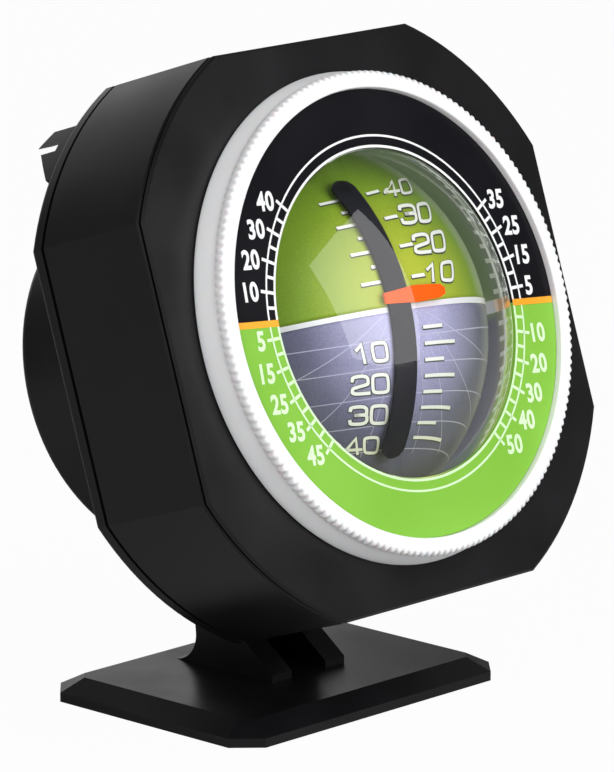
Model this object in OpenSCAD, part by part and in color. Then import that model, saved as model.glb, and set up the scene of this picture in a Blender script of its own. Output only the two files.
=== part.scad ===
// Vehicle inclinometer: a liquid-filled ball dial in a leaning case on a small stick-on stand.
// Millimetres. +Z is up, the face looks towards -Y, +X is to the right of someone reading it.
// The origin is the centre of the adhesive pad's lower face, which sits on the dashboard.

/* [Stand] */
// Width of the stand plate, left to right
plate_w = 53; // [46:0.5:60]
// Depth of the stand plate, front to back
plate_d = 40; // [36:0.5:48]
// Height of the plate's upright rim
plate_rim_h = 1.3; // [1:0.1:2]
// Full height of the plate with its bevel
plate_h = 3.1; // [2.6:0.1:4]
// Inset of the bevel from the rim to the plate's top
plate_bevel = 3.4; // [2:0.1:5]
// Length cut off each corner of the plate
plate_chamfer = 3.6; // [2:0.1:6]
// Distance across the outer faces of the two cheeks
neck_w = 14.6; // [14:0.2:18]
// Gap between the two cheeks, where the head's lug sits
neck_gap = 6.8; // [6.8:0.2:7.4]
// Height of the tilt pivot above the dashboard
pivot_z = 13.5; // [13:0.1:15]
// Distance of the tilt pivot behind the plate's centre
pivot_y = 3.2; // [2:0.1:4]

/* [Case] */
// Width across the case's flats
case_af = 78; // [76:0.5:82]
// Diameter across the case's rounded corners
case_corner_d = 86.8; // [85:0.2:90]
// Wall thickness of the case shells
wall = 2; // [1.8:0.1:2.2]
// Outside diameter of the round housing at the back
drum_d = 52; // [51.6:0.2:54]
// Angle that the head leans back from upright
lean = 18.34; // [10:0.1:26]
// Height of the dial's centre above the dashboard
dial_z = 57.5; // [56:0.1:60]
// Distance of the dial's centre in front of the plate's centre
dial_forward = 23; // [21:0.1:25]

/* [Dial] */
// Outside diameter of the knurled ring, over its teeth
bezel_d = 67; // [66.4:0.2:67.6]
// Number of knurl teeth on the ring
bezel_teeth = 180; // [90:6:240]
// Outside diameter of the printed roll scale
scale_d = 61.9; // [61:0.1:61.9]
// Diameter of the scale's window
window_d = 45.6; // [45.6:0.1:46]
// Clockwise turn of the dial in its case
dial_turn = 5.3; // [-15:0.1:15]

/* [Ball] */
// Diameter of the pitch ball
ball_d = 42.4; // [40:0.2:42.4]
// Distance of the ball's centre behind the scale's face
ball_y = 23; // [22.8:0.1:23.1]
// Width of the white horizon band
band_w = 0.65; // [0.4:0.05:1]
// Roll of the yoke in the dial, anticlockwise
roll_read = 2.3; // [-10:0.1:10]
// Pitch of the ball in the yoke; below 0 the horizon stands above the dial's centre
pitch_read = -1.3; // [-10:0.1:10]

/* [Hidden] */
$fn = 96;

far = 200;                  // reach of the cutting blocks
joint_gap = 0.05;           // radial clearance of every running fit

// stand
pad_proud = 0.3;            // the pad stands this far out of its recess
pad_recess = 0.8;
pad_w = plate_w - 8;
pad_d = plate_d - 8;
pad_corner = 3;
plate_top = pad_proud + plate_h;
cheek_r = 6;                // round top of the cheeks
toe_y = -6.2;               // front foot of the cheeks
toe_h = 1.1;
slant_top = [-0.9, 8.4];    // upper end of the cheeks' slanted front edge
heel_r = 4.2;               // hollow curve at the back of the neck
waist = 0.5;                // the neck narrows this much below the pivot
web_top = 8.2;              // top of the web that joins the cheeks
web_front = 5.6;
pivot_r = 1.5;
bolt_head_r = 2.75;
bolt_head_h = 1.9;
nut_af = 5.5;
nut_h = 2.2;
washer_t = 0.4;
washer_r = 4.6;

// case, measured along the head's own axis from the scale's face, which is depth 0
face_y = 4;                 // front face of the case
lip_y = 4.4;                // back of the front cover's visible edge
front_seam = 0.65;          // width of the groove behind it
seam = 0.3;                 // width of the groove before the rear cover
seam_deep = 0.7;
cover_back = 6;             // inner face of the front cover
case_back = 24.1;           // seam to the rear cover
rear_y = 26.5;              // back face of the rear plate
drum_back = 48.9;           // back face of the round housing
front_edge_r = 0.35;
rear_edge_r = 0.8;
drum_edge_r = 1.5;
drum_wall = 1.6;
drum_flange = 1.5;
drum_flange_t = 1.2;
case_h = case_af / 2;
case_r = case_corner_d / 2;
drum_r = drum_d / 2;
lug_t = neck_gap - 2 * washer_t;
lug_r = 5.2;
screw_at = 37.4;            // radius of the four corner screws
post_r = 3.2;
post_end = 15;
cover_screw_r = 1.2;
cover_screw_head_r = 2.6;
cover_screw_head_y = 25.1;
cover_screw_tip = 8.5;
board_y = 12;
board_t = 1.6;
board_in_r = 26;
board_out_r = 33.9;
standoff_at = 35.4;
standoff_r = 1.4;
board_screw_r = 0.5;
lamp_at = 31.4;
lamp_count = 6;
fork_angle = 133.3;         // middle of the lead clip on the rear rim
fork_half = 4.9;
fork_slot = 0.9;
fork_slot_z = 32.4;         // the slot is level when the dial is
fork_slot_y = 27.7;         // depth of the slot's floor
fork_tip_y = 32;            // depth of the upper prong's tip
fork_low_y = 30.5;          // depth of the lower prong's tip
fork_t = 1.5;
socket_z = 31.9;
socket_r = 3;
socket_flange_r = 4;
socket_bore_r = 1.8;
socket_in = 18;             // inner end of the socket's body
socket_out = 27.5;
socket_bore_end = 19.5;
socket_pin_r = 0.65;
contact_x = 1.7;            // sleeve contact: distance from the socket's axis
contact_t = 0.7;
contact_w = 0.8;
contact_end = 21;
tag_out = 1.5;              // the contacts stand this far out of the socket's inner end

// dial, on the same axis
opening_r = 31.3;           // opening in the front cover
skirt_r = opening_r - 0.08;
skirt_in_r = 29.9;
skirt_back = 7.9;
bezel_front = -1;
bezel_back = face_y - 0.15;
flare_r = 34.1;              // widest radius of the ring, behind its teeth
tooth_h = 0.4;
tooth_back = 0.3;
tooth_bite = 0.1;           // the teeth are sunk this far in the ring
keeper_front = 6.7;         // front of the ring that holds the dial in the cover
keeper_r = 32.9;
tab_r = 33.7;
tab_w = 4;
tab_angle = 250;
stop_half = 15;             // turn of the dial each way, in degrees
stop_w = 2;
stop_spare = 0.3;           // extra turn left before the tab meets a rib, in degrees
scale_t = 0.8;
flange_back = 4.4;
clamp_mid = 1.5;
clamp_back = 2.6;
clamp_at = 28.6;
clamp_screw_r = 0.8;
dome_r = 33;
dome_t = 1.4;
dome_y = 24.2;
dome_flange_r = 27.4;
seal_at = 24.8;
seal_r = 0.55;
cup_r = 22.5;
cup_step = 0.1;             // the barrel is this much narrower than the round back
cup_t = 1.2;
port_y = 8;                 // depth of the filling and expansion ports
port_r = 1.2;
port_boss_r = 2.4;
port_boss_h = 1.4;
plug_seal_r = 0.3;
arc_y = 25.1;               // centre of the arc's curve, a little flatter than the ball
arc_in = 23.5;
arc_out = 24;
arc_half = 45.8;            // the black arc reaches this far up and down
arc_w = 3.3;
arc_x = -0.7;
arc_tilt = -2.2;             // the arc leans left at its top
post_inset = 4;             // the posts meet the arc this many degrees before its ends
arc_post_r = 0.7;
marker_out = 24.4;
// front view of the marker, in [across, up] from the dial's centre: a blunt pointer whose lower edge is read
marker_shape = [[-3.1, 1.05], [2, 0.9], [5.9, 1.2], [7.2, 1.65], [7.3, 2.35], [6.5, 2.85], [2, 3], [-3.1, 2.4]];

// ball and yoke, measured from the ball's centre
ball_r = ball_d / 2;
shell_t = 1.3;
yoke_in = 21.5;
yoke_out = 22.1;
yoke_w = 1.9;
shaft_r = 1;
pin_r = 0.5;
shaft_end = 23.5;
bush_front = 22.4;
bush_back = 23.6;
bush_r = 2.2;
boss_back = 24.1;
pin_in = 18.2;               // inner ends of the pitch pins
ballast_low = 15.2;         // flat top of the ballast below the ball's centre

// ---- frames ----

// Places what is drawn about the dial's centre, with the head leaning back
module in_head() translate([0, -dial_forward, dial_z]) rotate([-lean, 0, 0]) children();

module in_dial() in_head() rotate([0, dial_turn, 0]) children();

module in_yoke() in_dial() translate([0, ball_y, 0]) rotate([0, -roll_read, 0]) children();

module in_ball() in_yoke() rotate([pitch_read, 0, 0]) children();

// ---- shared shapes ----

// Turns a profile of [radius, depth] points about the head's axis
module lathe(points) rotate([-90, 0, 0]) rotate_extrude() polygon(points);

// Extrudes a front view from depth y0 to depth y1
module slab(y0, y1) translate([0, y1, 0]) rotate([90, 0, 0]) linear_extrude(y1 - y0) children();

// A plain tube on the head's axis
module tube(r0, r1, y0, y1) lathe([[r0, y0], [r1, y0], [r1, y1], [r0, y1]]);

// A round bar on the head's axis
module bar(r, y0, y1) translate([0, y0, 0]) rotate([-90, 0, 0]) cylinder(r = r, h = y1 - y0);

// A round bar along X
module cross_bar(r, x0, x1, fn = $fn) translate([x0, 0, 0]) rotate([0, 90, 0]) cylinder(r = r, h = x1 - x0, $fn = fn);

// Half profile of a block with soft front and back edges: rounded, or a plain bevel where they are small
function edge_steps(e) = e == 0 ? [45] : e < 0.5 ? [0, 90] : [0 : 15 : 90];
function edge_profile(h, y0, y1, e0, e1) = concat(
    [for (a = edge_steps(e0)) [h - e0 + e0 * sin(a), y0 + e0 - e0 * cos(a)]],
    [for (a = edge_steps(e1)) [h - e1 + e1 * cos(a), y1 - e1 + e1 * sin(a)]]);

// Both halves of that profile, as a closed outline
function both_sides(p) = concat(p, [for (i = [len(p) - 1 : -1 : 0]) [-p[i][0], p[i][1]]]);

// The case's form: a square prism cut by a round one, with soft front and back edges
module case_form(h, r, y0, y1, e0, e1) {
    intersection() {
        lathe(concat([[0, y0]], edge_profile(r, y0, y1, e0, e1), [[0, y1]]));
        translate([0, 0, -r]) linear_extrude(2 * r) polygon(both_sides(edge_profile(h, y0, y1, e0, e1)));
        rotate([0, 90, 0]) translate([0, 0, -r]) linear_extrude(2 * r)
            polygon(both_sides(edge_profile(h, y0, y1, e0, e1)));
    }
}

// The case's outline as a plain prism
module case_prism(h, r, y0, y1) slab(y0, y1) intersection() {
    square(2 * h, center = true);
    circle(r);
}

// The thin groove that parts two shells
module seam_groove(y0, w) difference() {
    case_prism(case_h + 1, case_r + 1, y0, y0 + w);
    case_prism(case_h - seam_deep, case_r - seam_deep, y0 - 1, y0 + w + 1);
}

// Repeats children at the four corner screws
module at_corners() for (a = [45 : 90 : 315]) rotate([0, -a, 0]) translate([screw_at, 0, 0]) children();

// Repeats children on top, bottom and both sides at a radius
module at_quarters(r) for (a = [0 : 90 : 270]) rotate([0, -a, 0]) translate([r, 0, 0]) children();

// Repeats children at the six screws of the clamp ring
module at_clamps() for (a = [30 : 60 : 330]) rotate([0, -a, 0]) translate([clamp_at, 0, 0]) children();

// A cross-recessed pan-head screw whose head's seat is at depth 0 and whose shank runs forward
module pan_screw(shank_r, length, head_r, head_h) {
    difference() {
        union() {
            bar(shank_r, -length, 0);
            lathe([[0, 0], [head_r, 0], [head_r, head_h * 0.55], [head_r * 0.7, head_h], [0, head_h]]);
        }
        for (a = [0, 90]) rotate([0, a, 0])
            translate([-head_r * 0.55, head_h * 0.4, -head_r * 0.1]) cube([head_r * 1.1, head_h, head_r * 0.2]);
    }
}

// ---- stand ----

// A block whose four sides rise straight for the rim and then slope in
module bevel_block(half, reach) translate([-reach, 0, 0]) rotate([90, 0, 90]) linear_extrude(2 * reach) polygon([
    [-half, pad_proud], [half, pad_proud], [half, pad_proud + plate_rim_h], [half - plate_bevel, plate_top],
    [-half + plate_bevel, plate_top], [-half, pad_proud + plate_rim_h]]);

// Rounded rectangle of the pad, or of its recess when there is a margin
module pad_outline(margin) {
    w = pad_w / 2 + margin;
    d = pad_d / 2 + margin;
    square([2 * w, 2 * (d - pad_corner)], center = true);
    square([2 * (w - pad_corner), 2 * d], center = true);
    for (x = [-1, 1], y = [-1, 1]) translate([x * (w - pad_corner), y * (d - pad_corner)]) circle(pad_corner);
}

// Side view of the neck, in [depth, height]
module neck_side() {
    heel_x = pivot_y + cheek_r + heel_r - waist;
    difference() {
        union() {
            translate([pivot_y, pivot_z]) circle(cheek_r);
            polygon([
                [toe_y, plate_top - 0.5], [toe_y, plate_top + toe_h], slant_top,
                [pivot_y - cheek_r + 0.6, pivot_z - 2.6], [pivot_y, pivot_z],
                [pivot_y + cheek_r, pivot_z], [heel_x - heel_r, plate_top + heel_r],
                [heel_x, plate_top + heel_r], [heel_x, plate_top - 0.5]]);
        }
        translate([heel_x, plate_top + heel_r]) circle(heel_r);
    }
}

module base_stand() color("dimgray") {
    corner_half = (plate_w / 2 + plate_d / 2 - plate_chamfer) / sqrt(2);
    difference() {
        union() {
            intersection() {
                bevel_block(plate_d / 2, plate_w);
                rotate(90) bevel_block(plate_w / 2, plate_w);
                rotate(45) bevel_block(corner_half, plate_w);
                rotate(-45) bevel_block(corner_half, plate_w);
            }
            translate([-neck_w / 2, 0, 0]) rotate([90, 0, 90]) linear_extrude(neck_w) neck_side();
        }
        // slot for the head's lug, open to the front and over the web
        translate([-neck_gap / 2, web_front - far, plate_top]) cube([neck_gap, far, far]);
        translate([-neck_gap / 2, web_front - 1, web_top]) cube([neck_gap, far, far]);
        translate([0, pivot_y, pivot_z]) cross_bar(pivot_r + joint_gap, -far / 2, far / 2);
        translate([0, pivot_y, pivot_z]) rotate([0, 90, 0]) translate([0, 0, -neck_w / 2 - 1])
            cylinder(d = nut_af / cos(30), h = nut_h + 1, $fn = 6);
        translate([0, 0, pad_proud - 1]) linear_extrude(1 + pad_recess) pad_outline(0.2);
    }
}

module adhesive_pad() color("gainsboro") linear_extrude(pad_proud + pad_recess) pad_outline(0);

module pivot_bolt() color("silver") translate([0, pivot_y, pivot_z]) {
    cross_bar(pivot_r, -neck_w / 2 + 0.3, neck_w / 2);
    difference() {
        cross_bar(bolt_head_r, neck_w / 2, neck_w / 2 + bolt_head_h);
        cross_bar(1.3, neck_w / 2 + 0.9, neck_w, 6);
    }
}

module pivot_nut() color("silver") translate([0, pivot_y, pivot_z]) difference() {
    cross_bar(nut_af / 2 / cos(30), -neck_w / 2 + 0.2, -neck_w / 2 + nut_h, 6);
    cross_bar(pivot_r, -neck_w, 0);
}

module friction_washers() color("ivory") translate([0, pivot_y, pivot_z]) for (s = [-1, 1])
    translate([s * (neck_gap - washer_t) / 2, 0, 0]) difference() {
        cross_bar(washer_r, -washer_t / 2, washer_t / 2);
        cross_bar(pivot_r + joint_gap, -1, 1);
    }

// ---- case ----

module main_case() color("#26262a") in_head() difference() {
    union() {
        difference() {
            case_form(case_h, case_r, lip_y + front_seam, case_back, 0.25, 0.25);
            case_prism(case_h - wall, case_r - wall, 0, far);
        }
        at_corners() {
            bar(post_r, post_end + seam, case_back);
            translate([0, post_end + seam, -1]) cube([case_r - wall - screw_at + 0.5, case_back - post_end - seam, 2]);
        }
    }
    at_corners() bar(cover_screw_r + 0.3, 0, far);
}

module front_cover() color("#26262a") in_head() {
    rim_h = case_h - wall - 0.1;
    rim_r = case_r - wall - 0.1;
    difference() {
        union() {
            case_form(case_h, case_r, face_y, lip_y + front_seam, front_edge_r, 0);
            case_prism(rim_h, rim_r, lip_y, cover_back + 2);
            at_corners() bar(post_r, cover_back, post_end);
            at_quarters(standoff_at) bar(standoff_r, cover_back, board_y);
        }
        seam_groove(lip_y, front_seam);
        // the inside of the rim, with the ribs that stop the dial left standing
        difference() {
            case_prism(rim_h - 1.6, rim_r - 1.6, cover_back, cover_back + 3);
            at_corners() bar(post_r, 0, far);
            at_quarters(standoff_at) bar(standoff_r, 0, far);
            for (s = [-1, 1]) rotate([0, -tab_angle - s * stop_rib_angle(), 0])
                translate([keeper_r + 0.4, 0, -stop_w / 2]) cube([case_r, far, stop_w]);
        }
        bar(opening_r, 0, far);
        at_corners() bar(cover_screw_r, cover_screw_tip - 0.5, far);
        at_quarters(standoff_at) bar(board_screw_r, board_y - 3.5, far);
    }
}

// Angle from the tab's middle to the middle of each stop rib
function stop_rib_angle() = stop_half + stop_spare + asin((tab_w + stop_w) / 2 / (keeper_r + 0.6));

// The split hook on the back of the rear rim that holds the power lead
module lead_clip(side) difference() {
    rotate([0, -(90 + side * (fork_angle - 90)), 0]) intersection() {
        translate([case_r - fork_t, 0, 0]) rotate([90, 0, 90]) linear_extrude(4) polygon([
            [rear_y - 1, -side * fork_half], [fork_low_y, -side * fork_half], [fork_tip_y, -side * 2.1],
            [fork_low_y, -side * 0.4], [rear_y + 0.4, side * (fork_half - 0.2)], [rear_y - 1, side * (fork_half - 0.2)]]);
        bar(case_r - 0.06, 0, far);
    }
    translate([side > 0 ? -far : 0, fork_slot_y, fork_slot_z - fork_slot / 2]) cube([far, far, fork_slot]);
}

module rear_cover() color("#26262a") in_head() {
    pivot = head_point(pivot_y, pivot_z);
    difference() {
        union() {
            difference() {
                union() {
                    case_form(case_h, case_r, case_back, rear_y, 0, rear_edge_r);
                    case_prism(case_h - wall - 0.1, case_r - wall - 0.1, case_back - 1.2, case_back + 0.5);
                }
                case_prism(case_h - wall - 1.5, case_r - wall - 1.5, case_back - 2, case_back);
                seam_groove(case_back, seam);
            }
            for (s = [-1, 1]) lead_clip(s);
            // tilt lug under the round housing
            translate([-lug_t / 2, 0, 0]) rotate([90, 0, 90]) linear_extrude(lug_t) {
                translate(pivot) circle(lug_r);
                polygon([
                    [rear_y - 1, -drum_r + 1], [rear_y - 1, -case_h + 3], [rear_y + 0.6, -case_h + 2.2],
                    pivot + lug_r * [-0.39, -0.84], pivot, pivot + lug_r * [0.92, 0.19],
                    [drum_back - 4, -drum_r + 1]]);
            }
        }
        bar(drum_r, 0, far);
        translate([0, pivot[0], pivot[1]]) cross_bar(pivot_r + joint_gap, -far / 2, far / 2);
        at_corners() {
            bar(cover_screw_r + 0.3, 0, far);
            bar(cover_screw_head_r + 0.3, cover_screw_head_y, far);
            bar(post_r + 0.2, 0, case_back);
        }
        translate([0, 0, socket_z]) {
            bar(socket_r + 0.05, 0, far);
            bar(socket_flange_r + 1.3, 0, case_back);
        }
    }
}

// Round housing of the capsule, put in from the inside until its flange meets the rear plate
module drum_housing() color("#26262a") in_head() difference() {
    lathe(concat([[0, case_back - drum_flange_t], [drum_r + drum_flange, case_back - drum_flange_t],
                  [drum_r + drum_flange, case_back]],
        edge_profile(drum_r, case_back, drum_back, 0, drum_edge_r), [[0, drum_back]]));
    bar(drum_r - drum_wall, 0, drum_back - drum_wall);
}

// A point of the stand's side view, in the head's own [depth, height]
function head_point(y, z) = let (b = y + dial_forward, c = z - dial_z)
    [b * cos(lean) - c * sin(lean), b * sin(lean) + c * cos(lean)];

module cover_screws() color("#3a3a3e") in_head() at_corners() translate([0, cover_screw_head_y, 0])
    pan_screw(cover_screw_r, cover_screw_head_y - cover_screw_tip, cover_screw_head_r, 1.5);

// ---- supply and lamps ----

module power_socket() color("#1c1c1e") in_head() translate([0, 0, socket_z]) difference() {
    lathe([[0, socket_in], [socket_r, socket_in], [socket_r, rear_y], [socket_flange_r, rear_y],
           [socket_flange_r, socket_out - 0.3], [socket_flange_r - 0.3, socket_out], [0, socket_out]]);
    bar(socket_bore_r, socket_bore_end, far);
    bar(socket_pin_r, 0, far);
    translate([contact_x, 0, -contact_w / 2]) cube([contact_t, contact_end, contact_w]);
}

module socket_nut() color("silver") in_head() translate([0, 0, socket_z]) difference() {
    translate([0, case_back - 2, 0]) rotate([-90, 0, 0]) cylinder(d = 8 / cos(30), h = 2, $fn = 6);
    bar(socket_r, 0, far);
}

// Centre pin and the tag of the sleeve contact
module socket_contacts() color("goldenrod") in_head() translate([0, 0, socket_z]) {
    bar(socket_pin_r, socket_in - tag_out, socket_out - 1.5);
    translate([contact_x, socket_in - tag_out, -contact_w / 2]) cube([contact_t, contact_end - socket_in + tag_out, contact_w]);
}

module circuit_board() color("seagreen") in_head() difference() {
    union() {
        tube(board_in_r, board_out_r, board_y, board_y + board_t);
        at_quarters(0) translate([board_out_r - 2, board_y, -2.2]) cube([standoff_at + 1.3 - board_out_r + 2, board_t, 4.4]);
    }
    at_quarters(standoff_at) bar(board_screw_r + 0.1, 0, far);
}

module led_lamps() color("white") in_head() for (i = [0 : lamp_count - 1])
    rotate([0, -15 - i * 360 / lamp_count, 0]) translate([lamp_at, 0, 0]) {
        translate([-1.4, board_y - 1.3, -1.75]) cube([2.8, 1.3, 3.5]);
        bar(1.1, board_y - 1.9, board_y - 1.3);
    }

module resistors() color("#202020") in_head() for (a = [60, 75, 120]) rotate([0, -a, 0])
    translate([29.2, board_y + board_t, -1.6]) cube([1.6, 0.6, 3.2]);

// One insulated wire, swept along a smooth step from the socket's tag to the board
lead_r = 0.55;
lead_rings = 14;
lead_sides = 8;
function lead_at(p, q, t) = let (s = (1 - cos(180 * t)) / 2)
    [p[0] + (q[0] - p[0]) * s, p[1] + (q[1] - p[1]) * t, p[2] + (q[2] - p[2]) * s];

module lead_wire(p, q) {
    rings = [for (i = [0 : lead_rings], j = [0 : lead_sides - 1])
        let (a = j * 360 / lead_sides) lead_at(p, q, i / lead_rings) + lead_r * [cos(a), 0, sin(a)]];
    sides = [for (i = [0 : lead_rings - 1], j = [0 : lead_sides - 1]) let (k = (j + 1) % lead_sides)
        [i * lead_sides + j, i * lead_sides + k, (i + 1) * lead_sides + k, (i + 1) * lead_sides + j]];
    first = [for (j = [lead_sides - 1 : -1 : 0]) j];
    last = [for (j = [0 : lead_sides - 1]) lead_rings * lead_sides + j];
    polyhedron(rings, concat([first], sides, [last]));
}

module power_leads() color("firebrick") in_head() {
    lead_wire([-5, board_y + board_t, 30.4], [0, socket_in - tag_out, socket_z]);
    lead_wire([5.4, board_y + board_t, 30.4], [contact_x + contact_t / 2, socket_in - tag_out, socket_z]);
}

module board_screws() color("silver") in_head() at_quarters(standoff_at) translate([0, board_y + board_t, 0])
    pan_screw(board_screw_r, 4.6, 1.2, 0.9);

// Thin wavy washer that gives the dial its drag
wave_t = 0.22;
wave_h = 0.18;
wave_count = 4;
wave_steps = 72;
module wave_spring() color("silver") in_head() {
    middle = (cover_back + keeper_front) / 2;
    r = [skirt_r + 0.3, keeper_r - 0.2];
    points = [for (i = [0 : wave_steps - 1], c = [[0, -1], [1, -1], [1, 1], [0, 1]])
        let (a = i * 360 / wave_steps, y = middle + wave_h * sin(wave_count * a) + c[1] * wave_t / 2)
        [r[c[0]] * cos(a), y, r[c[0]] * sin(a)]];
    faces = [for (i = [0 : wave_steps - 1], c = [0 : 3]) let (n = (i + 1) % wave_steps, d = (c + 1) % 4)
        [4 * i + c, 4 * i + d, 4 * n + d, 4 * n + c]];
    polyhedron(points, faces);
}

// ---- dial ----

module bezel_ring() color("whitesmoke") in_dial() {
    tooth_r = bezel_d / 2;
    root_r = tooth_r - tooth_h;
    lathe([
        [scale_d / 2 + 0.05, bezel_front + 0.15], [scale_d / 2 + 0.2, bezel_front], [root_r - 0.6, bezel_front],
        [root_r - 0.15, bezel_front + 0.15], [root_r, bezel_front + 0.5], [root_r + 0.05, tooth_back - 0.1],
        [flare_r - 0.75, 0.9], [flare_r - 0.4, 2], [flare_r - 0.08, 3.1], [flare_r, 3.5], [flare_r - 0.05, bezel_back],
        [skirt_r, bezel_back], [skirt_r, skirt_back], [skirt_in_r, skirt_back], [skirt_in_r, scale_t],
        [scale_d / 2 + 0.05, scale_t]]);
    slab(bezel_front + 0.2, tooth_back) difference() {
        polygon([for (i = [0 : 2 * bezel_teeth - 1]) let (a = i * 180 / bezel_teeth, r = i % 2 == 0 ? tooth_r : root_r - tooth_bite)
            [r * cos(a), r * sin(a)]]);
        circle(root_r - 1);
    }
}

// Ring on the skirt behind the front cover, with the tab that meets the stops
module retaining_ring() color("#303034") in_dial() {
    tube(skirt_r, keeper_r, keeper_front, skirt_back);
    // the tab is set so that it points at the middle of the stops when the dial is level
    rotate([0, -tab_angle, 0]) translate([keeper_r - 0.3, keeper_front, -tab_w / 2])
        cube([tab_r - keeper_r + 0.3, skirt_back - keeper_front, tab_w]);
}

module scale_ring() color("yellowgreen") in_dial() tube(window_d / 2, scale_d / 2, 0, scale_t);

module clamp_ring() color("#303034") in_dial() difference() {
    lathe([[25.6, scale_t + 0.05], [skirt_in_r - 0.05, scale_t + 0.05], [skirt_in_r - 0.05, clamp_back],
           [dome_flange_r + 0.1, clamp_back], [dome_flange_r + 0.1, clamp_mid], [25.6, clamp_mid]]);
    at_clamps() bar(clamp_screw_r + joint_gap, 0, far);
}

module clamp_screws() color("silver") in_dial() at_clamps()
    bar(clamp_screw_r, scale_t + 0.15, flange_back - 0.4);

// Clear window: a shallow ball cap with a skirt and a flange
module dome() color("lightcyan", 0.4) in_dial() {
    neck_r = window_d / 2 - 0.15;
    difference() {
        union() {
            intersection() {
                translate([0, dome_y, 0]) sphere(dome_r);
                bar(neck_r, -far, clamp_back);
            }
            bar(dome_flange_r, clamp_mid, clamp_back);
        }
        intersection() {
            translate([0, dome_y, 0]) sphere(dome_r - dome_t);
            bar(neck_r - dome_t, -far, far);
        }
    }
}

module dome_seal() color("#151515") in_dial() rotate([-90, 0, 0]) rotate_extrude()
    translate([seal_at, clamp_back + seal_r]) circle(seal_r, $fn = 24);

// Housing of the liquid: flange, barrel and half-round back with the blind bearing boss
module capsule_cup() color("gainsboro") in_dial() difference() {
    out_r = cup_r + cup_t;
    union() {
        tube(cup_r - 1, skirt_in_r, clamp_back, flange_back);
        bar(out_r - cup_step, clamp_back, ball_y + 1);
        intersection() {
            translate([0, ball_y, 0]) sphere(out_r);
            bar(far, ball_y, far);
        }
        bar(bush_r + 1.2, ball_y + out_r - 1, ball_y + boss_back);
        translate([0, port_y, 0]) cross_bar(port_boss_r, -out_r - port_boss_h, out_r + port_boss_h);
    }
    bar(cup_r - cup_step, 0, ball_y + 1);
    intersection() {
        translate([0, ball_y, 0]) sphere(cup_r);
        bar(far, ball_y, far);
    }
    bar(bush_r, ball_y + 10, ball_y + bush_back);
    tube(seal_at - 0.7, seal_at + 0.7, clamp_back - 1, clamp_back + 2 * seal_r);
    at_clamps() bar(clamp_screw_r, 0, far);
    translate([0, port_y, 0]) cross_bar(port_r, -far, far);
}

// Slotted plug of the filling port, at the right of the cup
plug_seat = cup_r + cup_t + port_boss_h + 2 * plug_seal_r;
module fill_plug() color("silver") in_dial() translate([0, port_y, 0]) difference() {
    union() {
        cross_bar(port_r, cup_r + 0.4, plug_seat);
        cross_bar(2, plug_seat, plug_seat + 1);
    }
    translate([plug_seat + 0.5, -0.3, -far / 2]) cube([1, 0.6, far]);
}

module plug_seal() color("#151515") in_dial() translate([plug_seat - plug_seal_r, port_y, 0]) rotate([0, 90, 0])
    rotate_extrude() translate([port_r + plug_seal_r, 0]) circle(plug_seal_r, $fn = 24);

// Rubber cap that gives the liquid room to expand
module expansion_bellows() color("#202022") in_dial() translate([-cup_r - cup_t, port_y, 0]) rotate([0, -90, 0])
    difference() {
        rotate_extrude() polygon([
            [0, 0.2], [3, 0.2], [3, 1.6], [2.5, 2.1], [3, 2.6], [2.5, 3.1], [3, 3.6], [2.6, 4.2], [0, 4.2]]);
        translate([0, 0, -1]) cylinder(r = port_boss_r, h = 1 + port_boss_h);
        translate([0, 0, -1]) cylinder(r = 1.8, h = 4.6);
    }

// Black reference arc close over the ball
module arc_bar() color("#121214") in_dial() translate([0, arc_y, 0]) rotate([0, arc_tilt, 0]) intersection() {
    difference() {
        sphere(arc_out);
        sphere(arc_in);
    }
    union() {
        translate([arc_x - arc_w / 2, 0, 0]) rotate([90, 0, 90]) linear_extrude(arc_w)
            polygon([[0, 0], far * [-cos(arc_half - 5), -sin(arc_half - 5)], [-far, 0],
                     far * [-cos(arc_half - 5), sin(arc_half - 5)]]);
        for (s = [-1, 1]) translate([arc_x, 0, 0]) rotate([-s * (arc_half - 5), 0, 0]) bar(arc_w / 2 + 0.02, -far, 0);
    }
}

// Clear posts that carry the arc's two ends from the cup's wall
module arc_posts() color("lightcyan", 0.4) in_dial() translate([0, arc_y, 0]) rotate([0, arc_tilt, 0]) difference() {
    intersection() {
        translate([arc_x, -arc_out * cos(arc_half - post_inset), -cup_r]) cylinder(r = arc_post_r, h = 2 * cup_r);
        bar(cup_r - cup_step, -far, far);
    }
    sphere(arc_out);
    bar(arc_out * sin(arc_half - 2 * post_inset), -far, far);
}

// Orange pointer that sits on the arc
module marker() color("orangered") in_dial() translate([0, arc_y, 0]) intersection() {
    difference() {
        sphere(marker_out);
        sphere(arc_out);
    }
    slab(-far, 0) polygon(marker_shape);
}

module roll_bush() color("goldenrod") in_dial() translate([0, ball_y, 0])
    tube(shaft_r + joint_gap, bush_r, bush_front, bush_back);

// ---- yoke ----

module roll_yoke() color("silver") in_yoke() difference() {
    union() {
        intersection() {
            rotate_extrude() translate([yoke_in, -yoke_w / 2]) square([yoke_out - yoke_in, yoke_w]);
            union() {
                translate([-far, 0, -far]) cube(2 * far);
                cross_bar(yoke_w / 2, -far / 2, far / 2);
            }
        }
        bar(2, yoke_out - 0.4, bush_front - 0.1);
    }
    bar(shaft_r, 0, far);
    cross_bar(pin_r, -far / 2, far / 2);
}

module roll_shaft() color("silver") in_yoke() bar(shaft_r, yoke_in, shaft_end);

module pitch_pins() color("silver") in_yoke() {
    cross_bar(pin_r, pin_in, yoke_out);
    cross_bar(pin_r, -yoke_out, -pin_in);
}

// ---- ball ----

// Half of the hollow ball, above or below the band
module half_ball(side) in_ball() difference() {
    sphere(ball_r);
    sphere(ball_r - shell_t);
    translate([0, 0, side * (band_w / 2 - far)]) cube(2 * far, center = true);
    cross_bar(pin_r + joint_gap, -far / 2, far / 2);
}

module ball_upper() color("olivedrab") half_ball(1);

module ball_lower() color("slateblue") half_ball(-1);

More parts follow.
